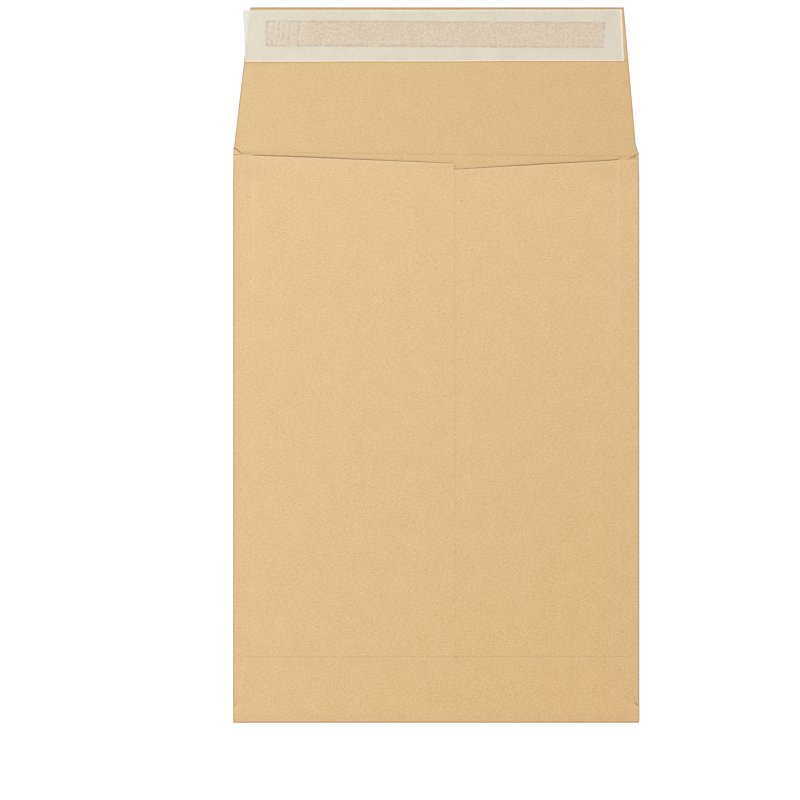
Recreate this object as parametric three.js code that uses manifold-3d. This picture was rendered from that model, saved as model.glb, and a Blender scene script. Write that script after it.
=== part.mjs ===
// Gusseted pocket envelope lying flat on its address side, with the closing flap open.
// It is one folded and glued sheet, a band of self-seal adhesive on the flap, and the liner that covers the band.
// Millimetres. X runs across the pocket, +Y points to the tip of the flap and +Z is up.
// The origin is on the surface it lies on, under the middle of its outline.
import * as THREE from "three";
import { mergeVertices } from "three/addons/utils/BufferGeometryUtils.js";
import Module from "manifold-3d";

// Sheet and pocket
const POCKET_WIDTH = 229;
const POCKET_HEIGHT = 321;
const GUSSET_WIDTH = 23.4;
const PAPER_THICKNESS = 0.2;
const PLY_GAP = 0.4;

// Centre seam: the left back panel lies on the right one, and its cut edge is right of the middle
const SEAM_OFFSET = 10;
const SEAM_OVERLAP = 20;
const SEAM_STEP_LENGTH = 3;

// Closing flap
const FLAP_HEIGHT = 82.6;
const FLAP_INSET_LEFT = 9.8;
const FLAP_INSET_RIGHT = 8.6;
const RELIEF_WIDTH = 1.5;
const RELIEF_HEIGHT = 5.2;
const CREASE_SKEW = 2.3;
const CREASE_WIDTH = 0.8;
const CREASE_DEPTH = 0.06;

// Cut edges of the mouth, measured up from the crease at each fold and at the seam
const LEFT_FRONT_RISE = 3.6;
const LEFT_EAR_WIDTH = 3.9;
const LEFT_EAR_RISE = 0.6;
const LEFT_INNER_RISE = -0.5;
const LEFT_BACK_RISE = -0.8;
const LEFT_SEAM_RISE = -5.5;
const RIGHT_FRONT_RISE = 0;
const RIGHT_INNER_RISE = -1.3;
const RIGHT_BACK_RISE = -2.8;
const RIGHT_SEAM_RISE = -8.7;

// Bottom flap, glued over both back panels
const BOTTOM_FLAP_HEIGHT = 37.1;
const BOTTOM_FLAP_INSET = 7.2;
const BOTTOM_NOTCH_HEIGHT = 9.7;
const BOTTOM_NOTCH_WIDTH = 3;
const BOTTOM_NOTCH_CURVE = 4;
const BOTTOM_RAMP_LENGTH = 4;

// Self-seal adhesive and its liner, each placed by its middle
const ADHESIVE_LENGTH = 191;
const ADHESIVE_WIDTH = 14.5;
const ADHESIVE_THICKNESS = 0.1;
const ADHESIVE_FROM_TIP = 15;
const ADHESIVE_SIDE_SHIFT = -0.6;
const ADHESIVE_TILT = -0.28;
const LINER_LENGTH = 213.7;
const LINER_WIDTH = 29.2;
const LINER_THICKNESS = 0.08;
const LINER_FROM_TIP = 16;
const LINER_SIDE_SHIFT = -1.5;
const LINER_TILT = 0.175;
const LINER_END_SLANT = 2.5;

// Facets of each curve, how far a cutter reaches past what it cuts, and how far two cutters overlap
const CURVE_SEGMENTS = 4;
const CUT_MARGIN = 1;
const CUT_OVERLAP = 0.02;

// Heights of the middle of each ply: address panel, two gusset plies, back panel
const pitch = PAPER_THICKNESS + PLY_GAP;
const halfPaper = PAPER_THICKNESS / 2;
const level = [0, 1, 2, 3].map((ply) => halfPaper + ply * pitch);
const foldAxis = [0, 1, 2].map((fold) => (level[fold] + level[fold + 1]) / 2);
const backTop = level[3] + halfPaper;
const lapTop = backTop + PAPER_THICKNESS;
const foldRadius = pitch / 2;
const glueBite = PAPER_THICKNESS / 10;

// Places across the pocket
const halfWidth = POCKET_WIDTH / 2;
const sideFoldX = halfWidth - foldRadius - halfPaper;
const innerX = halfWidth - GUSSET_WIDTH / 2;
const innerFoldX = innerX + foldRadius + halfPaper;
const seamX = SEAM_OFFSET;
const lapX = SEAM_OFFSET - SEAM_OVERLAP;
const stepTopX = lapX - PLY_GAP;
const stepEndX = stepTopX - SEAM_STEP_LENGTH;

// Places along the pocket
const bottomY = -(POCKET_HEIGHT + FLAP_HEIGHT) / 2;
const creaseY = bottomY + POCKET_HEIGHT;
const tipY = creaseY + FLAP_HEIGHT;
const bottomRadius = (lapTop + PAPER_THICKNESS) / 2;
const bottomFoldY = bottomY + bottomRadius;
const sideStartY = bottomFoldY + PLY_GAP;
const sideEndY = creaseY + LEFT_FRONT_RISE;

const down = -Math.PI / 2;
const up = Math.PI / 2;
const downFromLeft = (3 * Math.PI) / 2;

const wasm = await Module();
wasm.setup();

function solidOf(geometry) {
  geometry.deleteAttribute("normal");
  geometry.deleteAttribute("uv");
  const merged = mergeVertices(geometry);
  const vertProperties = merged.attributes.position.array;
  const triVerts = Uint32Array.from(merged.index.array);
  return new wasm.Manifold(new wasm.Mesh({ numProp: 3, vertProperties, triVerts }));
}

function geometryOf(solid) {
  const mesh = solid.getMesh();
  const geometry = new THREE.BufferGeometry();
  geometry.setAttribute("position", new THREE.BufferAttribute(mesh.vertProperties, 3));
  geometry.setIndex(new THREE.BufferAttribute(mesh.triVerts, 1));
  geometry.computeVertexNormals();
  return geometry;
}

function extrude(shape, depth) {
  return new THREE.ExtrudeGeometry(shape, { depth, bevelEnabled: false, curveSegments: CURVE_SEGMENTS });
}

// A section across the pocket, drawn as x and height, run from startY to endY
function runAlong(shape, startY, endY) {
  const axes = new THREE.Matrix4().makeBasis(
    new THREE.Vector3(1, 0, 0),
    new THREE.Vector3(0, 0, 1),
    new THREE.Vector3(0, -1, 0),
  );
  return extrude(shape, endY - startY).applyMatrix4(axes).translate(0, endY, 0);
}

// A section along the pocket, drawn as y and height, run from startX to endX
function runAcross(shape, startX, endX) {
  const axes = new THREE.Matrix4().makeBasis(
    new THREE.Vector3(0, 1, 0),
    new THREE.Vector3(0, 0, 1),
    new THREE.Vector3(1, 0, 0),
  );
  return extrude(shape, endX - startX).applyMatrix4(axes).translate(startX, 0, 0);
}

// An outline seen from above, standing from lowZ to highZ
function standUp(shape, lowZ, highZ) {
  return extrude(shape, highZ - lowZ).translate(0, 0, lowZ);
}

function outline(points) {
  return new THREE.Shape(points.map(([x, y]) => new THREE.Vector2(x, y)));
}

// The pressed gusset on the right, drawn upwards along one face of the sheet
function drawRightGusset(path, offset) {
  path.absarc(sideFoldX, foldAxis[0], foldRadius + offset, down, up, false);
  path.absarc(innerFoldX, foldAxis[1], foldRadius - offset, down, up, true);
  path.absarc(sideFoldX, foldAxis[2], foldRadius + offset, down, up, false);
}

// The pressed gusset on the left, drawn downwards along one face of the sheet
function drawLeftGusset(path, offset) {
  path.absarc(-sideFoldX, foldAxis[2], foldRadius + offset, up, downFromLeft, false);
  path.absarc(-innerFoldX, foldAxis[1], foldRadius - offset, up, down, true);
  path.absarc(-sideFoldX, foldAxis[0], foldRadius + offset, up, downFromLeft, false);
}

// Cross-section of the glued tube: its outside face, and its inside face as a hole
function tubeSection() {
  const outside = new THREE.Shape();
  outside.moveTo(0, 0);
  drawRightGusset(outside, halfPaper);
  outside.lineTo(seamX, backTop);
  outside.lineTo(seamX, lapTop);
  outside.lineTo(stepTopX, lapTop);
  outside.lineTo(stepEndX, backTop);
  drawLeftGusset(outside, halfPaper);

  const inside = new THREE.Path();
  inside.moveTo(0, PAPER_THICKNESS);
  drawRightGusset(inside, -halfPaper);
  inside.lineTo(lapX, backTop - PAPER_THICKNESS);
  inside.lineTo(lapX, backTop);
  inside.lineTo(stepTopX, backTop);
  inside.lineTo(stepEndX, backTop - PAPER_THICKNESS);
  drawLeftGusset(inside, -halfPaper);
  outside.holes.push(inside);
  return outside;
}

// Takes away what stands above a cut edge, given from left to right as x and rise, between two heights
function trimAbove(solid, edge, lowZ, highZ) {
  const cutEndY = sideEndY + CUT_MARGIN;
  const points = edge.map(([x, rise]) => [x, creaseY + rise]);
  points.push([edge[edge.length - 1][0], cutEndY], [edge[0][0], cutEndY]);
  return solid.subtract(solidOf(standUp(outline(points), lowZ - CUT_OVERLAP, highZ)));
}

// The tube of address panel, gussets and back panels, with the mouth cut ply by ply
function buildTube() {
  const pastSide = halfWidth + CUT_MARGIN;
  const pastInner = innerX - CUT_MARGIN;
  const aboveAll = lapTop + CUT_MARGIN;
  const rightSlope = (RIGHT_BACK_RISE - RIGHT_SEAM_RISE) / (halfWidth - seamX);
  const underLapX = lapX - PLY_GAP / 2;
  const underLapRise = RIGHT_SEAM_RISE - rightSlope * (seamX - underLapX);

  let tube = solidOf(runAlong(tubeSection(), sideStartY, sideEndY));
  tube = trimAbove(tube, [
    [-pastSide, LEFT_FRONT_RISE],
    [-halfWidth, LEFT_FRONT_RISE],
    [-halfWidth + LEFT_EAR_WIDTH, LEFT_EAR_RISE],
    [-innerX, LEFT_INNER_RISE],
    [-pastInner, LEFT_INNER_RISE],
  ], foldAxis[0], foldAxis[1]);
  tube = trimAbove(tube, [
    [-pastSide, LEFT_BACK_RISE],
    [-halfWidth, LEFT_BACK_RISE],
    [-innerX, LEFT_INNER_RISE],
    [-pastInner, LEFT_INNER_RISE],
  ], foldAxis[1], foldAxis[2]);
  tube = trimAbove(tube, [
    [-pastSide, LEFT_BACK_RISE],
    [-halfWidth, LEFT_BACK_RISE],
    [seamX, LEFT_SEAM_RISE],
    [seamX + CUT_MARGIN, LEFT_SEAM_RISE],
  ], foldAxis[2], aboveAll);
  tube = trimAbove(tube, [
    [seamX, RIGHT_SEAM_RISE],
    [halfWidth, RIGHT_BACK_RISE],
    [pastSide, RIGHT_BACK_RISE],
  ], foldAxis[2], aboveAll);
  tube = trimAbove(tube, [
    [underLapX, underLapRise],
    [seamX, RIGHT_SEAM_RISE],
    [seamX + CUT_MARGIN, RIGHT_SEAM_RISE],
  ], foldAxis[2], backTop);
  tube = trimAbove(tube, [
    [pastInner, RIGHT_INNER_RISE],
    [innerX, RIGHT_INNER_RISE],
    [halfWidth, RIGHT_BACK_RISE],
    [pastSide, RIGHT_BACK_RISE],
  ], foldAxis[1], foldAxis[2]);
  tube = trimAbove(tube, [
    [pastInner, RIGHT_INNER_RISE],
    [innerX, RIGHT_INNER_RISE],
    [halfWidth, RIGHT_FRONT_RISE],
    [pastSide, RIGHT_FRONT_RISE],
  ], foldAxis[0], foldAxis[1]);
  return trimAbove(tube, [
    [halfWidth - RELIEF_WIDTH - CUT_MARGIN, RIGHT_FRONT_RISE],
    [pastSide, RIGHT_FRONT_RISE],
  ], -CUT_MARGIN, foldAxis[0]);
}

// The closing flap carries on from the address panel, narrower at its tip, with a relief cut at its right root
function buildFlap() {
  const flap = new THREE.Shape();
  const reliefX = halfWidth - RELIEF_WIDTH;
  flap.moveTo(-sideFoldX, creaseY - CUT_MARGIN);
  flap.lineTo(sideFoldX, creaseY - CUT_MARGIN);
  flap.lineTo(sideFoldX, creaseY + RIGHT_FRONT_RISE);
  flap.quadraticCurveTo(reliefX, creaseY + RIGHT_FRONT_RISE, reliefX, creaseY + RELIEF_HEIGHT);
  flap.lineTo(halfWidth - FLAP_INSET_RIGHT, tipY);
  flap.lineTo(-halfWidth + FLAP_INSET_LEFT, tipY);
  flap.lineTo(-sideFoldX, sideEndY);
  return solidOf(standUp(flap, 0, PAPER_THICKNESS));
}

// The address panel turns up at the bottom and comes back over the two back panels
function buildBottomFlap() {
  const lowTop = lapTop - glueBite;
  const highTop = lowTop + PAPER_THICKNESS;
  const endY = bottomY + BOTTOM_FLAP_HEIGHT;
  const joinY = sideStartY + CUT_MARGIN;
  const rampEndY = bottomFoldY + BOTTOM_RAMP_LENGTH;

  const fold = new THREE.Shape();
  fold.moveTo(joinY, 0);
  fold.absarc(bottomFoldY, bottomRadius, bottomRadius, down, up, true);
  fold.lineTo(rampEndY, lowTop);
  fold.lineTo(endY, lowTop);
  fold.lineTo(endY, lowTop - PAPER_THICKNESS);
  fold.lineTo(rampEndY, lowTop - PAPER_THICKNESS);
  fold.absarc(bottomFoldY, bottomRadius, bottomRadius - PAPER_THICKNESS, up, down, false);
  fold.lineTo(joinY, PAPER_THICKNESS);

  const overSeam = outline([
    [stepEndX, lowTop],
    [stepEndX, lowTop - halfPaper],
    [seamX + SEAM_STEP_LENGTH, lowTop - halfPaper],
    [seamX + SEAM_STEP_LENGTH, lowTop],
    [seamX, highTop],
    [stepTopX, highTop],
  ]);

  const cut = new THREE.Shape();
  const notchY = bottomY + BOTTOM_NOTCH_HEIGHT;
  const notchX = halfWidth - BOTTOM_NOTCH_WIDTH;
  const tipX = halfWidth - BOTTOM_FLAP_INSET;
  cut.moveTo(-halfWidth, bottomY - CUT_MARGIN);
  cut.lineTo(halfWidth, bottomY - CUT_MARGIN);
  cut.lineTo(halfWidth, notchY);
  cut.quadraticCurveTo(notchX, notchY, notchX, notchY + BOTTOM_NOTCH_CURVE);
  cut.lineTo(tipX, endY);
  cut.lineTo(-tipX, endY);
  cut.lineTo(-notchX, notchY + BOTTOM_NOTCH_CURVE);
  cut.quadraticCurveTo(-notchX, notchY, -halfWidth, notchY);

  const sheet = solidOf(runAcross(fold, -halfWidth, halfWidth));
  const raised = solidOf(runAlong(overSeam, rampEndY, endY));
  return sheet.add(raised).intersect(solidOf(standUp(cut, -CUT_MARGIN, highTop + CUT_MARGIN)));
}

// The scored line that the flap folds on, pressed into the inside face and slightly out of square
function buildCrease() {
  const groove = outline([
    [-CREASE_WIDTH, PAPER_THICKNESS + CREASE_DEPTH],
    [0, PAPER_THICKNESS - CREASE_DEPTH],
    [CREASE_WIDTH, PAPER_THICKNESS + CREASE_DEPTH],
  ]);
  const line = runAcross(groove, -POCKET_WIDTH, POCKET_WIDTH);
  line.rotateZ(-Math.atan(CREASE_SKEW / POCKET_WIDTH));
  return solidOf(line.translate(0, creaseY, 0));
}

function buildSheet() {
  return buildTube().add(buildFlap()).add(buildBottomFlap()).subtract(buildCrease());
}

// A flat band about its own middle, with both ends slanted the same way
function bandGeometry(length, width, thickness, slant) {
  const lean = (Math.tan(THREE.MathUtils.degToRad(slant)) * width) / 2;
  const band = outline([
    [-length / 2 + lean, -width / 2],
    [length / 2 + lean, -width / 2],
    [length / 2 - lean, width / 2],
    [-length / 2 - lean, width / 2],
  ]);
  return standUp(band, 0, thickness);
}

function namedMesh(name, geometry, color, roughness) {
  const material = new THREE.MeshStandardMaterial({ color, roughness, metalness: 0 });
  const mesh = new THREE.Mesh(geometry, material);
  mesh.name = name;
  return mesh;
}

const sheet = namedMesh("envelope_sheet", geometryOf(buildSheet()), 0xe2bf92, 0.85);

const adhesiveBand = bandGeometry(ADHESIVE_LENGTH, ADHESIVE_WIDTH, ADHESIVE_THICKNESS, 0);
const adhesive = namedMesh("seal_adhesive", adhesiveBand, 0xd6b08c, 0.4);
adhesive.position.set(ADHESIVE_SIDE_SHIFT, tipY - ADHESIVE_FROM_TIP, PAPER_THICKNESS);
adhesive.rotation.z = THREE.MathUtils.degToRad(ADHESIVE_TILT);

const linerBand = bandGeometry(LINER_LENGTH, LINER_WIDTH, LINER_THICKNESS, LINER_END_SLANT);
const liner = namedMesh("release_liner", linerBand, 0xe0d9c7, 0.45);
liner.position.set(LINER_SIDE_SHIFT, tipY - LINER_FROM_TIP, PAPER_THICKNESS + ADHESIVE_THICKNESS);
liner.rotation.z = THREE.MathUtils.degToRad(LINER_TILT);

const envelope = new THREE.Group();
envelope.add(sheet, adhesive, liner);

export default envelope;
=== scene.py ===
import math

import bpy
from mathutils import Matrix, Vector, noise


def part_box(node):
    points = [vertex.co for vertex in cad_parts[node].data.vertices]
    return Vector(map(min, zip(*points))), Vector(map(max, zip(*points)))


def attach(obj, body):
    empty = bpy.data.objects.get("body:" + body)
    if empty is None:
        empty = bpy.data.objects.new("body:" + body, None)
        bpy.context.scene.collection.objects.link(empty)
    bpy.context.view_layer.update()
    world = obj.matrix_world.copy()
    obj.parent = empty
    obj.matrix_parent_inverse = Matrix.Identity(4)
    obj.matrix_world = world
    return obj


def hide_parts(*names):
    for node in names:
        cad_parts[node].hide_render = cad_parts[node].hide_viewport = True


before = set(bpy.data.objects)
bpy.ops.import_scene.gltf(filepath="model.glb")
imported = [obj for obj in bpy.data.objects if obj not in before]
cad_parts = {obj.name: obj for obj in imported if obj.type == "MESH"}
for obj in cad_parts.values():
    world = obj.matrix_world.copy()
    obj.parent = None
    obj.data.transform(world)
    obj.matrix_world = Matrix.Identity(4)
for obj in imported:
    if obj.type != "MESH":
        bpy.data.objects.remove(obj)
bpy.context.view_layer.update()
print("frame loaded")

mm = 0.001  # sizes below are in millimetres


def nodeBox(node):
    return [[v / mm for v in corner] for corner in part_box(node)]


def lerp(a, b, t):
    return a + (b - a) * t


def ease(low, high, value):  # 0 before low, 1 after high, smooth between; low may be the larger one
    t = min(1.0, max(0.0, (value - low) / (high - low)))
    return t * t * (3.0 - 2.0 * t)


def bump(distance, width):
    return math.exp(-((distance / width) ** 2))


def ripple(x, y, size, seed):  # smooth noise from -1 to 1, with features of about that size
    return noise.noise(Vector((x / size, y / size, seed * 7.31)))


def graded(start, *steps):  # places from start on, given as a pitch and the place it holds to, in turn
    places = [start]
    for pitch, end in zip(steps[::2], steps[1::2]):
        begin = places[-1]
        count = max(1, round(abs(end - begin) / pitch))
        places += [lerp(begin, end, i / count) for i in range(1, count + 1)]
    return places


# the folded sheet: one kraft blank that lies on its address panel, closing flap open towards +Y
sheetSet = {
    "creaseY": 119.2,
    "creaseSkew": 2.3,  # the scored line is slightly out of square
    "thick": 0.2,
    "plyGap": 0.4,  # air between two pressed plies
    "gusset": 23.4,  # width of one side gusset, both plies
    "foldSegments": 8,
    "seamX": 10.2,  # cut edge of the left panel, which lies on the right one
    "lapX": -10.0,  # cut edge of the right panel
    "seamStep": 3.0,  # over which the upper panel comes down
    "glueFilm": 0.02,  # between glued plies
    "flapInset": (9.8, 8.6),  # how far the flap narrows to its tip, left and right
    "flapStart": (3.6, 0.8),  # how far over the crease its cut sides start
    "reliefWide": 1.85,  # the cut at the flap's right root
    "reliefHigh": 5.8,
    "bottomHigh": 37.1,  # the bottom flap, and the notches at its sides
    "bottomInset": 7.2,
    "bottomRamp": 4.0,
    "notchLow": 9.7,
    "notchWide": 3.0,
    "notchHigh": 4.0,
    "notchLift": 0.40,
    "reliefFrom": (0.5, 8.0),  # how far from a side fold the back starts to give, and gives freely
    "pleatRidge": 0.13,  # how far the inner pleat prints through the back
    "ridgeWide": 0.5,
    "ridgeFaint": 0.35,  # the share of it that is left far from the mouth
    "ridgeGrows": (-60.0, 112.0),  # between these heights, and so on below
    "pleatDrop": 0.36,  # how far the back falls off beside the pleat
    "dropReach": 22.0,
    "dropGrows": (-175.0, 40.0),
    "panelSag": 0.72,  # how far the back sinks in the middle
    "sagHalf": 100.0,
    "sagGrows": (-165.0, 60.0),
    "seamDip": 0.20,  # the two panels close up where the seam meets the mouth
    "dipWide": 16.0,
    "dipGrows": (60.0, 114.0),
    "cornerDroop": 0.30,  # the left panel's corner hangs over the right panel's edge
    "edgeCurl": 0.03,  # the cut edges at the mouth lift a little
    "curlHigh": 2.2,
    "curlFrom": 14.0,
    "seamLift": 0.05,  # the seam's cut edge stands up a little
    "seamLiftWide": 2.0,
    "mouthPinch": 0.5,  # the gussets are pressed tighter at the mouth
    "pinchDeep": 17.0,
    "pinchFrom": (74.0, 46.0),  # how far from the middle it starts, left and right
    "cockle": 0.10,  # the paper's own waves
    "cockleSizes": (46.0, 21.0),
    "cutJitter": 0.07,  # the cut edges aren't quite straight
    "jitterSizes": (1.4, 4.5),
    "scoreHigh": 0.10,  # relief of the scored crease
    "scoreWide": (1.8, 0.4),  # the raised band along the crease, and the groove in it
    "flapSpring": 0.10,
    "springEnds": (6.0, 60.0),
    "flapWave": 0.09,
    "flapWaveSize": 52.0,
    "flapWaveGrows": (4.0, 30.0),
    "flapStill": (8.0, 5.0),  # no relief this far below the crease, and less of it this near the sides
    "wear": {  # how strongly each edge shows, from 0 to 1: painted highlight at the seam, pleat and bottom cut, painted shade at the folds, flap sides, crease and liner's edge
        "seam": 0.23,
        "pleat": 0.38,
        "bottomCut": 0.45,
        "sideFold": 0.6,
        "bottomFold": 0.8,
        "flapSide": 0.7,
        "crease": 0.16,
        "linerMark": 0.42,
        "earFrom": (108.5, 111.0),  # where the painted shadow along an ear's edge starts, and is full
    },
}

# cut edges of the mouth: height over the crease at points across each ply
mouthEdges = {
    "leftBack": [(-114.5, -0.7), (-88.0, -1.55), (-50.0, -3.1), (10.2, -5.5)],
    "leftOuter": [(-114.5, -0.7), (-110.5, -0.5), (-109.0, 0.1), (-102.8, -0.3)],
    "leftInner": [(-114.5, 3.6), (-112.8, 2.9), (-109.8, 0.3), (-102.8, -0.3)],
    "front": [(-114.1, 3.6), (114.1, 0.8)],
    "rightInner": [(102.8, -2.3), (109.8, -2.1), (111.0, -1.5), (112.8, -1.1), (113.7, 0.0), (114.5, 0.8)],
    "rightOuter": [(102.8, -2.3), (104.5, -2.9), (114.5, -2.9)],
    "rightBack": [(-10.4, -10.15), (114.5, -3.0)],
}

sheetLow, sheetHigh = nodeBox("envelope_sheet")
halfWidth, bottomY, tipY = sheetHigh[0], sheetLow[1], sheetHigh[1]
thick, creaseY, seamX = sheetSet["thick"], sheetSet["creaseY"], sheetSet["seamX"]
plyPitch = thick + sheetSet["plyGap"]
level = [thick / 2 + i * plyPitch for i in range(4)]  # middles of the four plies, from the address panel up
foldAxis = [(level[i] + level[i + 1]) / 2 for i in range(3)]
foldRadius = plyPitch / 2
sideFoldX = halfWidth - foldRadius - thick / 2
pleatX = halfWidth - sheetSet["gusset"] / 2
pleatFoldX = pleatX + foldRadius + thick / 2
stepTopX = sheetSet["lapX"] - sheetSet["plyGap"]
stepEndX = stepTopX - sheetSet["seamStep"]
bottomRadius = (level[3] + 2.5 * thick) / 2
bottomFoldY = bottomY + bottomRadius
bottomCutY = bottomY + sheetSet["bottomHigh"]
notchY = bottomY + sheetSet["notchLow"]
sideStartY = bottomFoldY + sheetSet["plyGap"]
flapHigh = tipY - creaseY


def riseAt(ply, x):
    points = mouthEdges[ply]
    x = min(max(x, points[0][0]), points[-1][0])
    for (x0, r0), (x1, r1) in zip(points, points[1:]):
        if x <= x1:
            return lerp(r0, r1, (x - x0) / (x1 - x0))
    return points[-1][1]


def creaseAt(x):
    return creaseY - sheetSet["creaseSkew"] * x / (2 * halfWidth)


def lapAt(x):  # 1 where the left panel lies on the right one
    if x > seamX:
        return ease(seamX + sheetSet["seamStep"], seamX, x)
    return ease(stepEndX - 3, stepTopX, x)


def panelRelief(x, y):  # what the pressed pleats and the paper's own waves do to the back
    s, away = sheetSet, abs(x)
    start, free = s["reliefFrom"]
    inside = ease(halfWidth - start, halfWidth - free, away) * ease(bottomY + 2, bottomY + 30, y)
    ridge = s["pleatRidge"] * bump(away - pleatX, s["ridgeWide"])
    ridge *= lerp(s["ridgeFaint"], 1, ease(*s["ridgeGrows"], y)) * ease(bottomCutY + 1, bottomCutY + 22, y)
    drop = s["pleatDrop"] * ease(pleatX + 0.8, pleatX - s["dropReach"], away) * ease(*s["dropGrows"], y)
    sag = s["panelSag"] * (1 - min(1, away / s["sagHalf"]) ** 2) * ease(*s["sagGrows"], y)
    dip = s["seamDip"] * bump(x - 2, s["dipWide"]) * ease(*s["dipGrows"], y)
    broad, narrow = s["cockleSizes"]
    waves = s["cockle"] * (ripple(x, y, broad, 1) + 0.5 * ripple(x, y, narrow, 2))
    return inside * (ridge + waves - drop - sag - dip)


def flapRelief(x, y):  # the flap stays a little sprung along its scored crease
    s = sheetSet
    below, nearSide = s["flapStill"]
    d = y - creaseAt(x)
    if d < -below:
        return 0.0
    band, groove = s["scoreWide"]
    scored = s["scoreHigh"] * (bump(d, band) - bump(d, groove))
    rises, falls = s["springEnds"]
    spring = s["flapSpring"] * ease(0, rises, d) * ease(falls, rises, d)
    waves = s["flapWave"] * ease(*s["flapWaveGrows"], d) * (1 + ripple(x, y, s["flapWaveSize"], 3))
    return (scored + spring + waves) * ease(sideFoldX, sideFoldX - nearSide, abs(x))


def foldPoints(centreX, centreZ, start, end):  # points round a fold, between its two plies
    count = sheetSet["foldSegments"]
    angles = [lerp(start, end, i / count) for i in range(1, count)]
    return [(centreX + foldRadius * math.cos(a), centreZ + foldRadius * math.sin(a)) for a in angles]


def sheetColumns():  # ply, x, z and mouth height, from the seam edge round to the right panel's end
    up, down, leftDown = math.pi / 2, -math.pi / 2, 3 * math.pi / 2
    columns = []

    def run(ply, z, xs):
        for x in xs:
            columns.append((ply, x, z, riseAt(ply, x)))

    def fold(ply, centreX, centreZ, start, end, atX):
        for x, z in foldPoints(centreX, centreZ, start, end):
            columns.append((ply, x, z, riseAt(ply, atX)))

    edgeX, earX, ridgeIn, ridgeOut, turnX = sideFoldX - 2, 110.6, 97.5, 105.5, 112.6
    fine, wide = 0.4, 3.9  # pitches at a fold or ridge, and on the open panels
    seamRun = graded(seamX, 0.5, seamX - 2, 3.0, stepTopX, 0.75, stepEndX - 3)
    lapX = sheetSet["lapX"]
    leftRun = graded(stepEndX - 3, wide, -ridgeIn, fine, -ridgeOut, 1.2, -turnX, fine, -sideFoldX)
    frontLeft = graded(-sideFoldX, fine, -edgeX, wide, stepEndX - 4, 1.0, lapX + 1)
    frontRight = graded(lapX + 1, 3.0, seamX - 2, 0.75, seamX + 4, wide, edgeX, fine, sideFoldX)
    rightRun = graded(sideFoldX, fine, turnX, 1.2, ridgeOut, fine, ridgeIn, wide, seamX + 3, 2.5, lapX)

    for x in seamRun + leftRun[1:]:
        raised = (thick + sheetSet["glueFilm"]) * lapAt(x)
        columns.append(("leftBack", x, level[3] + raised, riseAt("leftBack", x)))
    fold("leftBack", -sideFoldX, foldAxis[2], up, leftDown, -halfWidth)
    run("leftOuter", level[2], graded(-sideFoldX, 1.0, -107, 1.8, -pleatFoldX))
    fold("leftOuter", -pleatFoldX, foldAxis[1], up, down, -pleatX)
    run("leftInner", level[1], graded(-pleatFoldX, 0.9, -earX, 0.5, -sideFoldX))
    fold("leftInner", -sideFoldX, foldAxis[0], up, leftDown, -halfWidth)
    run("front", level[0], frontLeft + frontRight[1:])
    fold("rightInner", sideFoldX, foldAxis[0], down, up, halfWidth)
    run("rightInner", level[1], graded(sideFoldX, 0.35, earX, 0.9, pleatFoldX))
    fold("rightOuter", pleatFoldX, foldAxis[1], leftDown, up, pleatX)
    run("rightOuter", level[2], graded(pleatFoldX, 1.8, sideFoldX))
    fold("rightBack", sideFoldX, foldAxis[2], down, up, halfWidth)
    run("rightBack", level[3], rightRun)
    return columns


def bodyPoint(column, t):  # t from 0 at the bottom to 1 at the mouth
    s = sheetSet
    ply, x, z, rise = column
    topY = creaseY + rise
    if "Back" in ply:
        small, large = s["jitterSizes"]
        topY += s["cutJitter"] * (ripple(x, 3.0, small, 5) + 0.8 * ripple(x, 8.0, large, 6))
    y = lerp(sideStartY, topY, t)
    if ply == "front":
        return x, y, z + flapRelief(x, y)
    if "Back" in ply and z > foldAxis[2]:
        z += panelRelief(x, y) * min(1, (z - foldAxis[2]) / foldRadius)
        uncovered = 1 if ply == "leftBack" else ease(seamX - 1, seamX + 3, x)
        inward = ease(halfWidth, halfWidth - s["curlFrom"], abs(x))
        z += s["edgeCurl"] * uncovered * ease(topY - s["curlHigh"], topY, y) ** 2 * inward
    if ply == "leftBack":
        overFlap = ease(bottomCutY + 1, bottomCutY + 20, y)
        z += s["seamLift"] * ease(seamX - s["seamLiftWide"], seamX, x) * overFlap
        clearY = creaseY + riseAt("rightBack", x) + 0.3
        z -= s["cornerDroop"] * ease(clearY, topY, y) * ease(-14, 9, x)
    pinch = s["mouthPinch"] * ease(creaseY - s["pinchDeep"], creaseY - 2, y)
    pinch *= ease(s["pinchFrom"][x > 0], 104, abs(x))
    return pinchedFold(ply, x, pinch), y, lerp(z, level[0], pinch)


def pinchedFold(ply, x, pinch):  # a fold that is pressed tighter stays round
    away = abs(x)
    if away > sideFoldX:
        away = lerp(away, sideFoldX, pinch)
    elif away < pleatFoldX and "Back" not in ply:
        away = lerp(away, pleatFoldX, pinch)
    return math.copysign(away, x)


def flapSide(rise, side):  # x of the flap's cut edge at a height over the crease
    s = sheetSet
    start = s["flapStart"][side > 0]
    tipX = halfWidth - s["flapInset"][side > 0]
    if side < 0:
        return -lerp(sideFoldX, tipX, max(0, rise - start) / (flapHigh - start))
    reliefX = halfWidth - s["reliefWide"]
    if rise < s["reliefHigh"]:
        return lerp(sideFoldX, reliefX, max(0, rise - start) / (s["reliefHigh"] - start))
    return lerp(reliefX, tipX, (rise - s["reliefHigh"]) / (flapHigh - s["reliefHigh"]))


def flapPoint(u, x0, t):
    y = lerp(creaseY + riseAt("front", x0), tipY, t)
    rise = y - creaseY
    x = lerp(flapSide(rise, -1), flapSide(rise, 1), u)
    return x, y, level[0] + flapRelief(x, y)


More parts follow.
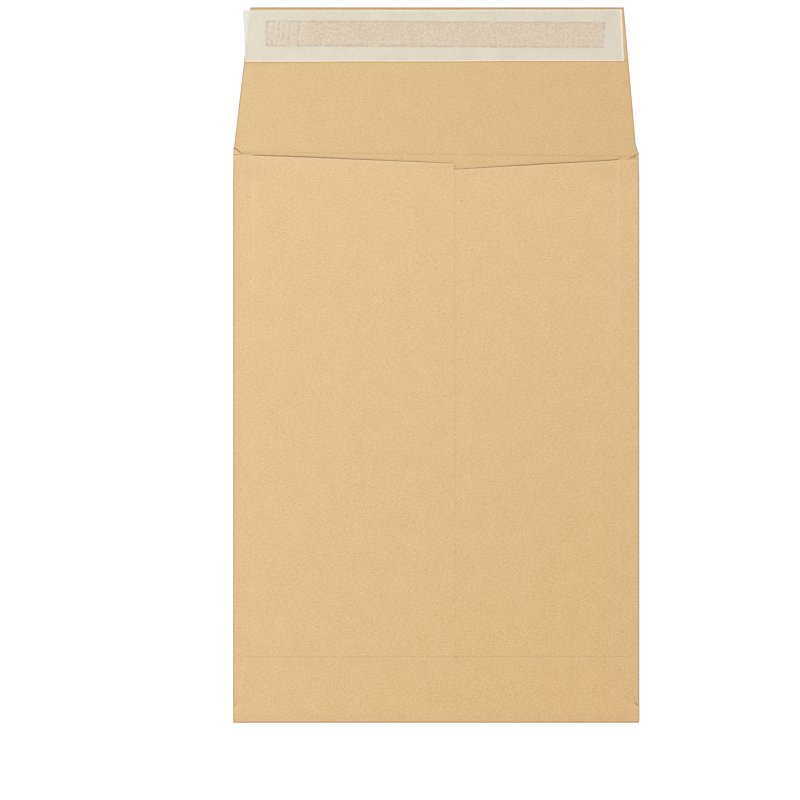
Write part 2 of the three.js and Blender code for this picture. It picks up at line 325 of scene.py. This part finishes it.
def bottomHalfWidth(y):  # die-cut outline of the bottom flap, with a curved notch at each side
    s = sheetSet
    inner = halfWidth - s["notchWide"]
    if y <= notchY:
        return halfWidth
    if y <= notchY + s["notchHigh"]:
        q = math.sqrt((y - notchY) / s["notchHigh"])
        return inner + s["notchWide"] * (1 - q) ** 2
    t = (y - notchY - s["notchHigh"]) / (bottomCutY - notchY - s["notchHigh"])
    return lerp(inner, halfWidth - s["bottomInset"], t)


def bottomRows():  # from the address panel, round the bottom fold, to the bottom flap's cut edge
    rampY = bottomFoldY + sheetSet["bottomRamp"]
    notch = [notchY + sheetSet["notchHigh"] * (q / 10) ** 2 for q in range(11)]
    back = graded(bottomFoldY, 0.7, rampY, 1.0, notchY) + notch[1:]
    back += graded(notch[-1], 2.4, bottomCutY - 1.5, 0.5, bottomCutY)[1:]
    turns = [("fold", math.pi * (1.5 - i / 12)) for i in range(12)]
    return turns + [("back", y) for y in back]


def bottomPoint(row, u):
    s = sheetSet
    kind, value = row
    if kind == "fold":
        radius = bottomRadius - thick / 2
        x = lerp(-halfWidth, halfWidth, u)
        return x, bottomFoldY + radius * math.cos(value), bottomRadius + radius * math.sin(value)
    half = bottomHalfWidth(value)
    x = lerp(-half, half, u)
    ramp = ease(bottomFoldY + s["bottomRamp"], bottomFoldY, value)
    lift = s["notchLift"] * bump(value - notchY - 1.8, 3.6) * ease(half - 7, half, abs(x))
    z = level[3] + thick * (1 + max(ramp, lapAt(x))) + s["glueFilm"] * (1 + lapAt(x))
    return x, value, z + panelRelief(x, value) + lift


def atEdge(distance):
    return ease(0.9, 0.05, distance)


# painted shade along the scored crease
def creaseWear(point):
    return sheetSet["wear"]["crease"] * bump(point[1] - creaseAt(point[0]), 0.42)


def bodyWear(ply, point, toMouth):  # painted highlight along cut edges, and painted shade along folds
    wear, (x, y, z) = sheetSet["wear"], point
    cut = atEdge(toMouth)
    fold = wear["sideFold"] * atEdge(halfWidth - thick / 2 - abs(x))
    if ply == "front":
        return 0, max(fold, creaseWear(point))
    if ply == "leftBack":
        cut = max(cut, wear["seam"] * atEdge(seamX - x))
    if "Back" in ply:  # painted highlight along the ridge where the pleat prints through
        rubbed = lerp(0.25, 1, ease(20, 105, y))
        cut = max(cut, wear["pleat"] * bump(abs(x) - pleatX, 0.45) * rubbed)
    if "Inner" in ply and abs(x) > wear["earFrom"][0]:  # painted shadow along the ears' edges where they turn into the fold
        return 0, max(fold, cut * ease(*wear["earFrom"], abs(x)))
    return cut, fold


# painted shade along the flap's cut sides, its tip, the crease and the liner's lower edge
def flapWear(point):
    wear, (x, y, z) = sheetSet["wear"], point
    rise = y - creaseY
    side = wear["flapSide"] * atEdge(min(x - flapSide(rise, -1), flapSide(rise, 1) - x))
    mark = wear["linerMark"] * bump(y - linerFoot(x) + 0.32, 0.3)  # painted shade along the liner's lower edge
    return 0, max(side, atEdge(tipY - y), creaseWear(point), mark)


# painted highlight along the bottom flap's cut edge, painted shade along the bottom and side folds
def bottomWear(row, point):
    wear, (x, y, z) = sheetSet["wear"], point
    fold = wear["bottomFold"] * ease(1.35, 0.5, y - bottomY)
    if row[0] == "back" and y > notchY:
        return wear["bottomCut"] * atEdge(min(bottomCutY - y, bottomHalfWidth(y) - abs(x))), fold
    return 0, max(fold, wear["sideFold"] * atEdge(halfWidth - abs(x)))


def buildSheet():
    bodyHigh = creaseY - sideStartY
    bodyRows = [v / bodyHigh for v in graded(0, 1, 4, 4.2, bodyHigh - 17, 1.6, bodyHigh - 9, 0.4, bodyHigh)]
    mark = linerFoot(0) - creaseY
    flapStops = graded(0, 0.5, 6, 2.6, mark - 2.4, 0.25, mark + 1.2, 2.6, flapHigh - 1, 1, flapHigh)
    flapRows = [v / flapHigh for v in flapStops[1:]]
    points, places, cuts, folds, index = [], [], [], [], {}

    def put(key, point, place, wear):
        index[key] = len(points)
        points.append(Vector(point) * mm)
        places.append(place)
        cuts.append(wear[0])
        folds.append(wear[1])

    columns = sheetColumns()
    along = 0.0  # across the flat blank, from the seam edge
    lastX, lastZ = columns[0][1:3]
    for c, column in enumerate(columns):
        ply, x, z, rise = column
        along += math.hypot(x - lastX, z - lastZ)
        lastX, lastZ = x, z
        for r, t in enumerate(bodyRows):
            point = bodyPoint(column, t)
            toMouth = (1 - t) * (creaseY + rise - sideStartY)
            put((c, r), point, (along, point[1]), bodyWear(ply, point, toMouth))
        if ply != "front":
            continue
        u = (x + sideFoldX) / (2 * sideFoldX)
        for r, t in enumerate(flapRows):
            point = flapPoint(u, x, t)
            put((c, len(bodyRows) + r), point, (along, point[1]), flapWear(point))
        up = sideStartY  # along the flat blank, from the side plies' start down
        last = bodyPoint(column, 0)
        for r, row in enumerate(bottomRows()):
            point = bottomPoint(row, u)
            up -= math.dist(point[1:], last[1:])
            last = point
            put((c, -1 - r), point, (along + point[0] - x, up), bottomWear(row, point))

    faces = []
    rows = range(-len(bottomRows()), len(bodyRows) + len(flapRows))
    for c in range(len(columns) - 1):
        for r in rows:
            corners = [(c, r), (c, r + 1), (c + 1, r + 1), (c + 1, r)]
            if all(k in index for k in corners):
                faces.append([index[k] for k in corners])
    sheet = meshObject("envelopeSheet", points, faces, places)
    # painted highlight along cut edges and painted shade along folds, read by the material
    addMarks(sheet, "cutEdge", cuts)
    addMarks(sheet, "foldEdge", folds)
    return sheet


def meshObject(name, points, faces, places):  # places are flat coordinates in millimetres, kept as a UV map
    mesh = bpy.data.meshes.new(name)
    mesh.from_pydata(points, [], faces)
    layer = mesh.uv_layers.new(name="blank")
    for loop in mesh.loops:
        layer.data[loop.index].uv = places[loop.vertex_index]
    obj = bpy.data.objects.new(name, mesh)
    bpy.context.scene.collection.objects.link(obj)
    return obj


def addMarks(obj, label, values):  # one value for each point, which the material reads by name
    layer = obj.data.attributes.new(label, "FLOAT", "POINT")
    layer.data.foreach_set("value", values)


def finishPiece(obj, materials, thickness, node):  # materials for its top, underside and cut rim
    for material in materials:
        obj.data.materials.append(material)
    solid = obj.modifiers.new("thickness", "SOLIDIFY")
    solid.thickness = thickness * mm
    solid.offset = 0
    solid.use_even_offset = True
    solid.material_offset = min(1, len(materials) - 1)
    solid.material_offset_rim = len(materials) - 1
    bpy.context.view_layer.objects.active = obj
    bpy.ops.object.modifier_apply(modifier=solid.name)
    obj.data.shade_smooth()
    obj.data.set_sharp_from_angle(angle=math.radians(40))
    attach(obj, "root")
    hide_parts(node)
    print(obj.name, "has", len(obj.data.polygons), "faces")


def setSocket(tree, socket, value):
    if isinstance(value, (int, float, tuple)):
        socket.default_value = value
    else:
        tree.links.new(value, socket)


def addMath(tree, operation, *values, clamp=False):
    node = tree.nodes.new("ShaderNodeMath")
    node.operation = operation
    node.use_clamp = clamp
    for socket, value in zip(node.inputs, values):
        setSocket(tree, socket, value)
    return node.outputs[0]


def addMix(tree, share, a, b, blend="MIX"):
    node = tree.nodes.new("ShaderNodeMix")
    node.data_type = "RGBA"
    node.blend_type = blend
    for i, value in ((0, share), (6, a), (7, b)):  # the colour sockets of a mix node are 6 and 7
        setSocket(tree, node.inputs[i], value)
    return node.outputs[2]


def addRange(tree, value, low, high, toLow, toHigh):
    node = tree.nodes.new("ShaderNodeMapRange")
    for socket, number in zip(node.inputs, (value, low, high, toLow, toHigh)):
        setSocket(tree, socket, number)
    return node.outputs[0]


def addNoise(tree, place, scale, detail, rough):
    node = tree.nodes.new("ShaderNodeTexNoise")
    for label, value in (("Vector", place), ("Scale", scale), ("Detail", detail), ("Roughness", rough)):
        setSocket(tree, node.inputs[label], value)
    return node.outputs["Fac"]


def addTurned(tree, place, degrees, scale):
    node = tree.nodes.new("ShaderNodeMapping")
    node.inputs["Rotation"].default_value = (0, 0, math.radians(degrees))
    node.inputs["Scale"].default_value = scale
    tree.links.new(place, node.inputs["Vector"])
    return node.outputs[0]


def addGroup(tree, group, **values):
    node = tree.nodes.new("ShaderNodeGroup")
    node.node_tree = group
    for label, value in values.items():
        setSocket(tree, node.inputs[label], value)
    return node.outputs


def newGroup(name, inputs, outputs):
    group = bpy.data.node_groups.new(name, "ShaderNodeTree")
    for direction, sockets in (("INPUT", inputs), ("OUTPUT", outputs)):
        for label, kind in sockets.items():
            group.interface.new_socket(label, in_out=direction, socket_type="NodeSocket" + kind)
    given = group.nodes.new("NodeGroupInput").outputs
    return group, given, group.nodes.new("NodeGroupOutput").inputs


def buildFibreGroup():  # grain, felted fibres and the cloudy formation of paper
    group, given, result = newGroup(
        "paperFibres",
        {"Place": "Vector", "Grain": "Float", "Fibre": "Float", "Cloud": "Float"},
        {"Shade": "Float", "Cloud": "Float", "Warmth": "Float", "Height": "Float"},
    )
    place = given["Place"]
    grain = addMath(group, "SUBTRACT", addNoise(group, place, 1.15, 3.0, 0.6), 0.5)
    strands = 0.0
    for angle, fineness in ((8, 1.0), (67, 1.13), (-52, 0.91), (-17, 3.1), (48, 2.7)):
        lying = addTurned(group, place, angle, (0.42 * fineness, 4.2 * fineness, 1))
        strand = addMath(group, "SUBTRACT", addNoise(group, lying, 1.0, 2.0, 0.55), 0.5)
        strands = addMath(group, "ADD", strands, strand)
    cloud = addMath(group, "SUBTRACT", addNoise(group, place, 0.085, 4.0, 0.62), 0.5)
    hue = addNoise(group, addTurned(group, place, 37, (0.34, 0.34, 1)), 1.0, 3.0, 0.7)
    shade = 0.5
    for part, label in ((grain, "Grain"), (strands, "Fibre"), (cloud, "Cloud")):
        shade = addMath(group, "MULTIPLY_ADD", part, given[label], shade)
    group.links.new(shade, result["Shade"])
    group.links.new(cloud, result["Cloud"])
    group.links.new(addRange(group, hue, 0.3, 0.7, 0, 1), result["Warmth"])
    group.links.new(addMath(group, "MULTIPLY_ADD", grain, 0.6, strands), result["Height"])
    return group


def buildFleckGroup():  # sparse dark shives that lie in the pulp
    group, given, result = newGroup(
        "pulpFlecks",
        {"Place": "Vector", "Spacing": "Float", "Share": "Float", "Radius": "Float"},
        {"Mask": "Float"},
    )
    cells = group.nodes.new("ShaderNodeTexVoronoi")
    cells.voronoi_dimensions = "2D"
    group.links.new(given["Place"], cells.inputs["Vector"])
    group.links.new(addMath(group, "DIVIDE", 1.0, given["Spacing"]), cells.inputs["Scale"])
    draw = group.nodes.new("ShaderNodeSeparateColor")
    group.links.new(cells.outputs["Color"], draw.inputs[0])
    chosen, sized, faded = draw.outputs[:3]  # three draws for each cell
    radius = addMath(group, "MULTIPLY", given["Radius"], addMath(group, "MULTIPLY_ADD", sized, 0.9, 0.4))
    distance = addMath(group, "MULTIPLY", cells.outputs["Distance"], given["Spacing"])
    near = addMath(group, "SUBTRACT", 1.0, addMath(group, "DIVIDE", distance, radius), clamp=True)
    mask = addMath(group, "MULTIPLY", near, 1.8, clamp=True)
    mask = addMath(group, "MULTIPLY", mask, addMath(group, "LESS_THAN", chosen, given["Share"]))
    mask = addMath(group, "MULTIPLY", mask, addMath(group, "MULTIPLY_ADD", faded, 0.7, 0.3))
    group.links.new(mask, result["Mask"])
    return group


def buildToneGroup():  # dark to light by the fibres, with a painted light falloff slowly over the piece, and a turning hue
    group, given, result = newGroup(
        "paperTone",
        {"Spot": "Vector", "Shade": "Float", "Warmth": "Float", "Rightward": "Float", "Upward": "Float",
         "Dark": "Color", "Light": "Color", "Warm": "Color", "Cold": "Color"},
        {"Color": "Color"},
    )
    apart = group.nodes.new("ShaderNodeSeparateXYZ")
    group.links.new(given["Spot"], apart.inputs[0])
    shade = addMath(group, "MULTIPLY_ADD", apart.outputs["X"], given["Rightward"], given["Shade"])
    shade = addMath(group, "MULTIPLY_ADD", apart.outputs["Y"], given["Upward"], shade)
    colour = addMix(group, shade, given["Dark"], given["Light"])
    tint = addMix(group, given["Warmth"], given["Warm"], given["Cold"])
    group.links.new(addMix(group, 1.0, colour, tint, "MULTIPLY"), result["Color"])
    return group


def buildWearGroup():  # painted highlights on cut edges and painted shade on folds
    group, given, result = newGroup(
        "edgeWear",
        {"Color": "Color", "Cut": "Float", "Fold": "Float", "Worn": "Color", "Pressed": "Color"},
        {"Color": "Color"},
    )
    colour = addMix(group, given["Cut"], given["Color"], given["Worn"])
    group.links.new(addMix(group, given["Fold"], colour, given["Pressed"]), result["Color"])
    return group


def srgb(r, g, b):  # a colour as seen, made linear
    def straight(v):
        return v / 12.92 if v <= 0.04045 else ((v + 0.055) / 1.055) ** 2.4

    return straight(r / 255), straight(g / 255), straight(b / 255), 1.0


def newMaterial(name):
    material = bpy.data.materials.new(name)
    material.use_nodes = True
    return material, material.node_tree, material.node_tree.nodes["Principled BSDF"]


def addBlank(tree):  # millimetres on the flat blank
    node = tree.nodes.new("ShaderNodeUVMap")
    node.uv_map = "blank"
    return node.outputs[0]


def addSpot(tree):  # metres in the frame
    return tree.nodes.new("ShaderNodeTexCoord").outputs["Object"]


def addMark(tree, label, share=1.0):
    node = tree.nodes.new("ShaderNodeAttribute")
    node.attribute_name = label
    return addMath(tree, "MULTIPLY", node.outputs["Fac"], share)


def addRelief(tree, shader, height, strength, deep):
    node = tree.nodes.new("ShaderNodeBump")
    node.inputs["Strength"].default_value = strength
    node.inputs["Distance"].default_value = deep * mm
    tree.links.new(height, node.inputs["Height"])
    tree.links.new(node.outputs[0], shader.inputs["Normal"])


# painted light falloff: the slow change of tone to the right and to the top, per metre
kraftSet = {
    "outside": {
        "dark": srgb(204, 164, 110),
        "light": srgb(243, 210, 167),
        "rough": (0.84, 0.70),
        "drift": (-0.75, 0.75),
    },
    "inside": {
        "dark": srgb(201, 162, 112),
        "light": srgb(239, 206, 158),
        "rough": (0.90, 0.78),
        "drift": (-0.95, 0.40),
    },
    "cut": {
        "dark": srgb(210, 172, 122),
        "light": srgb(248, 222, 180),
        "rough": (0.96, 0.88),
        "drift": (-0.75, 0.75),
    },
    "fleck": srgb(150, 108, 62),
    "fleckShare": 0.6,
    "fleckSpacing": 5.0,
    "fleckChance": 0.24,
    "fleckRadius": 0.36,
    # painted highlight for the cut edges
    "worn": srgb(246, 214, 170),
    "wornShare": 0.65,
    # painted shade for folds, edges, the crease and the ears
    "pressed": srgb(153, 115, 71),
    "redder": (1.0, 0.985, 0.955, 1),  # tints that the pulp turns between
    "yellower": (0.985, 1.0, 0.985, 1),
    "grain": 1.5,
    "fibre": 0.47,
    "cloud": 0.22,
    "bump": 0.05,
    "sheen": 0.30,
}


def kraftMaterial(side):
    k, look = kraftSet, kraftSet[side]
    material, tree, shader = newMaterial("kraft" + side.title())
    place = addBlank(tree)
    fibres = addGroup(tree, fibreGroup, Place=place, Grain=k["grain"], Fibre=k["fibre"], Cloud=k["cloud"])
    flecks = addGroup(
        tree, fleckGroup, Place=place,
        Spacing=k["fleckSpacing"], Share=k["fleckChance"], Radius=k["fleckRadius"],
    )
    tone = addGroup(
        tree, toneGroup, Spot=addSpot(tree), Shade=fibres["Shade"], Warmth=fibres["Warmth"],
        Rightward=look["drift"][0], Upward=look["drift"][1],
        Dark=look["dark"], Light=look["light"], Warm=k["redder"], Cold=k["yellower"],
    )
    flecked = addMath(tree, "MULTIPLY", flecks["Mask"], k["fleckShare"])
    colour = addMix(tree, flecked, tone["Color"], k["fleck"])
    # painted highlights along cut edges and painted shade along folds
    edges = addGroup(
        tree, wearGroup, Color=colour, Cut=addMark(tree, "cutEdge", k["wornShare"]),
        Fold=addMark(tree, "foldEdge"), Worn=k["worn"], Pressed=k["pressed"],
    )
    tree.links.new(edges["Color"], shader.inputs["Base Color"])
    tree.links.new(addRange(tree, fibres["Shade"], 0.2, 0.8, *look["rough"]), shader.inputs["Roughness"])
    shader.inputs["Specular IOR Level"].default_value = k["sheen"]
    addRelief(tree, shader, fibres["Height"], 0.35, k["bump"])
    return material


# the band of glue on the flap
bandSet = {
    "size": (191.0, 14.5),
    "thick": 0.1,
    "tilt": -0.28,
    "lift": 0.005,  # keeps its underside clear of the flap
    "ragged": 0.22,
    "ribs": [2.2, 5.0, 8.2, 11.2, 14.6, 19.5],  # ripples in the liner over it, from the left end
    "ribWide": 0.55,
    "ribHigh": 0.02,
    "ribsEnd": 26.0,  # the grid is finer up to here
    "dark": srgb(186, 138, 94),
    "light": srgb(228, 190, 148),
    "rough": (0.22, 0.42),
}


def nodeMiddle(node):
    low, high = nodeBox(node)
    return (low[0] + high[0]) / 2, (low[1] + high[1]) / 2


bandAt = nodeMiddle("seal_adhesive")


def turned(at, tilt, x, y):
    c, s = math.cos(math.radians(tilt)), math.sin(math.radians(tilt))
    return at[0] + c * x - s * y, at[1] + s * x + c * y


def bandPlace(x, y):  # along the band from its left end, and across from its middle
    along, across = turned((0, 0), -bandSet["tilt"], x - bandAt[0], y - bandAt[1])
    return along + bandSet["size"][0] / 2, across


def ribAt(along, across):  # 0 to 1 on the wavy ripples
    best = 0.0
    for i, place in enumerate(bandSet["ribs"]):
        sway = 0.9 * ripple(across, place * 3, 3.0, 11 + i) + 0.06 * across
        broken = ease(-0.45, 0.15, ripple(across, place, 4.0, 61 + i))
        within = ease(7.4, 5.6, abs(across))
        best = max(best, bump(along - place - sway, bandSet["ribWide"]) * within * broken)
    return best


def flatGrid(name, alongs, acrosses, pointAt):
    points = [pointAt(a, b) for a in alongs for b in acrosses]
    rows = len(acrosses)
    faces = []
    for i in range(len(alongs) - 1):
        for k in range(i * rows, (i + 1) * rows - 1):
            faces.append([k, k + rows, k + rows + 1, k + 1])
    return meshObject(name, [Vector(p) * mm for p in points], faces, [p[:2] for p in points])


def bandPoint(along, across):
    length, width = bandSet["size"]
    edge = bandSet["ragged"] * ripple(along, across * 1.24, 2.6, 21) * abs(2 * across / width) ** 6
    x, y = turned(bandAt, bandSet["tilt"], along - length / 2, across - edge)
    z = thick + flapRelief(x, y) + bandSet["lift"] + bandSet["thick"] / 2
    return x, y, z + bandSet["ribHigh"] * ribAt(along, across)


def buildBand():
    length, width = bandSet["size"]
    alongs = graded(0, 0.4, bandSet["ribsEnd"], 1.1, length)
    return flatGrid("sealAdhesive", alongs, graded(-width / 2, 0.6, width / 2), bandPoint)


def glueMaterial():
    material, tree, shader = newMaterial("tackyGlue")
    fibres = addGroup(tree, fibreGroup, Place=addBlank(tree), Grain=0.9, Fibre=0.1, Cloud=0.8)
    colour = addMix(tree, fibres["Shade"], bandSet["dark"], bandSet["light"])
    tree.links.new(colour, shader.inputs["Base Color"])
    rough = addRange(tree, fibres["Cloud"], -0.3, 0.3, *bandSet["rough"])
    tree.links.new(rough, shader.inputs["Roughness"])
    addRelief(tree, shader, fibres["Height"], 0.4, 0.04)
    return material


# the see-through silicone paper over the band
linerSet = {
    "size": (213.7, 28.9),
    "thick": 0.08,
    "tilt": 0.175,
    "slant": 2.5,  # its ends are cut out of square
    "upward": 0.15,  # from the CAD liner's middle
    "edgeWave": 0.16,
    "wave": 0.10,
    "ribHigh": 0.10,
    "overhangLift": 0.35,
    "clear": 0.01,  # over the band
    "dark": srgb(233, 226, 208),
    "light": srgb(255, 248, 234),
    "warmer": (1.0, 0.975, 0.94, 1),
    "colder": (0.97, 0.99, 1.0, 1),
    # painted light falloff, darker to the right
    "drift": (-1.1, 0.0),
    "wetted": srgb(240, 208, 172),
    "wettedShare": 0.70,
    # glue along the band's edge, and painted shade beside each ripple
    "drawn": srgb(196, 164, 138),
    "drawnShare": 0.42,
    # painted highlight along the liner's cut edges, more solid there
    "rim": srgb(255, 246, 230),
    "free": srgb(238, 241, 233),  # painted light of the pale table seen through, colder where no kraft shows through
    "freeShare": 0.75,
    "solid": (0.74, 0.62),  # how solid it looks free, and where the glue wets it
    "rimSolid": 0.26,
    "freeSolid": -0.2,
    "rough": (0.52, 0.40),
    "sheen": 0.35,
}

linerAt = Vector(nodeMiddle("release_liner")) + Vector((0, linerSet["upward"]))


def linerFoot(x):  # y of the liner's lower edge
    slope = math.tan(math.radians(linerSet["tilt"]))
    return linerAt[1] - linerSet["size"][1] / 2 + slope * (x - linerAt[0])


def bandRim(along, across):  # distance from the band's ragged outline, positive inside
    length, width = bandSet["size"]
    ragged = 0.35 * ripple(along, across, 2.2, 31)
    return min(width / 2 - abs(across) - 0.6 * ragged, along + ragged, length - along - ragged)


def contactAt(along, across):  # how well the glue wets the liner
    inside = ease(-0.28, 0.28, bandRim(along, across))
    return inside * (1 - 0.9 * ribAt(along, across)) * lerp(0.6, 1, ease(14, 30, along))


def drawnAt(along, across):  # glue drawn up along the band's edge, and painted shade beside each ripple
    broken = ease(-0.5, 0.15, ripple(along, across, 1.5, 71))
    return broken * max(bump(bandRim(along, across) - 0.35, 0.42), ribAt(along + 1.05, across))


def overhangAt(x, y):  # how far it stands past the flap's left edge
    return flapSide(y - creaseY, -1) - x


def linerPoint(along, across):
    length, width = linerSet["size"]
    lean = math.tan(math.radians(linerSet["slant"])) * (width / 2 - across)
    edge = linerSet["edgeWave"] * ripple(along, across * 1.37, 34, 41) * (2 * across / width - 1) ** 4
    x, y = turned(linerAt, linerSet["tilt"], along - length / 2 + lean, across - width / 2 + edge)
    onBand = bandPlace(x, y)
    z = thick + bandSet["thick"] + linerSet["clear"] + linerSet["thick"] / 2 + flapRelief(x, y)
    z += linerSet["wave"] * (1 - contactAt(*onBand)) * (0.5 + 0.5 * ripple(x, y, 15, 42))
    z += linerSet["overhangLift"] * ease(-6, 5, overhangAt(x, y))
    return x, y, z + linerSet["ribHigh"] * ribAt(*onBand)


def buildLiner():
    length, width = linerSet["size"]
    alongs = graded(0, 0.85, 12, 0.37, 37, 1.3, length)
    acrosses = graded(0, 0.3, 0.9, 0.7, 5.8, 0.35, 9.3, 0.7, 20.8, 0.35, 24.3, 0.7, width - 0.9, 0.3, width)
    liner = flatGrid("releaseLiner", alongs, acrosses, linerPoint)
    marks = {"contact": [], "drawn": [], "paleRim": [], "overhang": []}
    for along in alongs:
        for across in acrosses:
            x, y, z = linerPoint(along, across)
            onBand = bandPlace(x, y)
            marks["contact"].append(contactAt(*onBand))
            marks["drawn"].append(drawnAt(*onBand))
            # painted highlight near the liner's cut edges
            marks["paleRim"].append(ease(0.75, 0.05, min(across, width - across, length - along)))
            marks["overhang"].append(ease(-0.35, 0.35, overhangAt(x, y)))
    for label, values in marks.items():
        addMarks(liner, label, values)
    return liner


def linerMaterial():
    k = linerSet
    material, tree, shader = newMaterial("siliconePaper")
    place = addBlank(tree)
    fibres = addGroup(tree, fibreGroup, Place=place, Grain=1.4, Fibre=0.9, Cloud=0.9)
    tone = addGroup(
        tree, toneGroup, Spot=addSpot(tree), Shade=fibres["Shade"], Warmth=fibres["Warmth"],
        Rightward=k["drift"][0], Upward=k["drift"][1],
        Dark=k["dark"], Light=k["light"], Warm=k["warmer"], Cold=k["colder"],
    )
    patches = addRange(tree, addNoise(tree, place, 0.55, 4.0, 0.8), 0.36, 0.64, 0.05, 1.0)
    specks = addRange(tree, addNoise(tree, place, 1.3, 2.0, 0.6), 0.3, 0.7, -0.8, 0.8)
    mottle = addMath(tree, "ADD", patches, specks)
    wetted = addMath(tree, "MULTIPLY", addMark(tree, "contact"), mottle, clamp=True)
    rim, over = addMark(tree, "paleRim"), addMark(tree, "overhang")
    colour = addMix(tree, addMath(tree, "MULTIPLY", wetted, k["wettedShare"]), tone["Color"], k["wetted"])
    # glue along the band's edge and painted shade beside the ripples
    colour = addMix(tree, addMark(tree, "drawn", k["drawnShare"]), colour, k["drawn"])
    # painted highlight along the rim
    colour = addMix(tree, rim, colour, k["rim"])
    # painted light of the table seen through the overhang
    colour = addMix(tree, addMath(tree, "MULTIPLY", over, k["freeShare"]), colour, k["free"])
    tree.links.new(colour, shader.inputs["Base Color"])
    solid = addRange(tree, wetted, 0, 1, *k["solid"])
    solid = addMath(tree, "MULTIPLY_ADD", rim, k["rimSolid"], solid)
    solid = addMath(tree, "MULTIPLY_ADD", over, k["freeSolid"], solid)
    tree.links.new(solid, shader.inputs["Alpha"])
    tree.links.new(addRange(tree, fibres["Shade"], 0.2, 0.8, *k["rough"]), shader.inputs["Roughness"])
    shader.inputs["Specular IOR Level"].default_value = k["sheen"]
    addRelief(tree, shader, fibres["Height"], 0.25, 0.03)
    return material


# the table, light and camera, in metres
stageSet = {
    "floorHalf": 4.0,
    "floorZ": -0.00025,
    "floorShade": 0.50,
    "floorGlow": 0.66,
    "sky": 0.56,
    "keyAt": (-1.50, -4.00, 5.80),
    "keySize": 1.15,
    "keyPower": 289.0,
    "imagePixels": 800,
    "pixelsPerMm": 1.7738,
    "originPixel": (436.1, 365.05),  # where the photo shows the frame's origin
    "lens": 120.0,
    "sensor": 36.0,
}


def addSeen(tree):  # 1 for rays that show the background itself
    path = tree.nodes.new("ShaderNodeLightPath").outputs
    seen = addMath(tree, "MAXIMUM", path["Is Camera Ray"], path["Is Glossy Ray"])
    return addMath(tree, "MAXIMUM", seen, path["Is Transmission Ray"])


def buildFloor():
    half, z, shade = stageSet["floorHalf"], stageSet["floorZ"], stageSet["floorShade"]
    mesh = bpy.data.meshes.new("paleTable")
    corners = [(-half, -half, z), (half, -half, z), (half, half, z), (-half, half, z)]
    mesh.from_pydata(corners, [], [(0, 1, 2, 3)])
    floor = bpy.data.objects.new("paleTable", mesh)
    bpy.context.scene.collection.objects.link(floor)
    material, tree, shader = newMaterial("paleTable")
    shader.inputs["Base Color"].default_value = (shade, shade, shade, 1)
    shader.inputs["Roughness"].default_value = 0.9
    shader.inputs["Specular IOR Level"].default_value = 0.0
    shader.inputs["Emission Color"].default_value = (1, 1, 1, 1)
    glow = addMath(tree, "MULTIPLY", addSeen(tree), stageSet["floorGlow"])
    tree.links.new(glow, shader.inputs["Emission Strength"])
    mesh.materials.append(material)


def buildLight():
    lamp = bpy.data.lights.new("keyLamp", "AREA")
    lamp.shape = "DISK"
    lamp.size = stageSet["keySize"]
    lamp.energy = stageSet["keyPower"]
    key = bpy.data.objects.new("keyLamp", lamp)
    key.location = stageSet["keyAt"]
    key.rotation_euler = (-Vector(stageSet["keyAt"])).to_track_quat("-Z", "Y").to_euler()
    bpy.context.scene.collection.objects.link(key)
    world = bpy.data.worlds.new("softRoom")
    bpy.context.scene.world = world
    world.use_nodes = True
    tree = world.node_tree
    room = tree.nodes["Background"].inputs
    room["Color"].default_value = (1, 1, 1, 1)
    tree.links.new(addRange(tree, addSeen(tree), 0, 1, stageSet["sky"], 1.0), room["Strength"])


def buildCamera():  # straight down, at the photo's scale
    data = bpy.data.cameras.new("overhead")
    data.sensor_width = stageSet["sensor"]
    data.sensor_fit = "HORIZONTAL"
    data.lens = stageSet["lens"]
    data.clip_end = 50
    metresPerPixel = mm / stageSet["pixelsPerMm"]
    half = stageSet["imagePixels"] / 2
    originX, originY = stageSet["originPixel"]
    height = stageSet["imagePixels"] * metresPerPixel * stageSet["lens"] / stageSet["sensor"]
    camera = bpy.data.objects.new("overhead", data)
    camera.location = ((half - originX) * metresPerPixel, (originY - half) * metresPerPixel, height + 0.002)
    bpy.context.scene.collection.objects.link(camera)
    bpy.context.scene.camera = camera


fibreGroup = buildFibreGroup()
fleckGroup = buildFleckGroup()
toneGroup = buildToneGroup()
wearGroup = buildWearGroup()
print("paper effects ready")

kraftLooks = [kraftMaterial(side) for side in ("outside", "inside", "cut")]
finishPiece(buildSheet(), kraftLooks, thick, "envelope_sheet")
finishPiece(buildBand(), [glueMaterial()], bandSet["thick"], "seal_adhesive")
finishPiece(buildLiner(), [linerMaterial()], linerSet["thick"], "release_liner")

buildFloor()
buildLight()
buildCamera()
bpy.context.scene.view_settings.view_transform = "Standard"
print("table, light and camera ready")
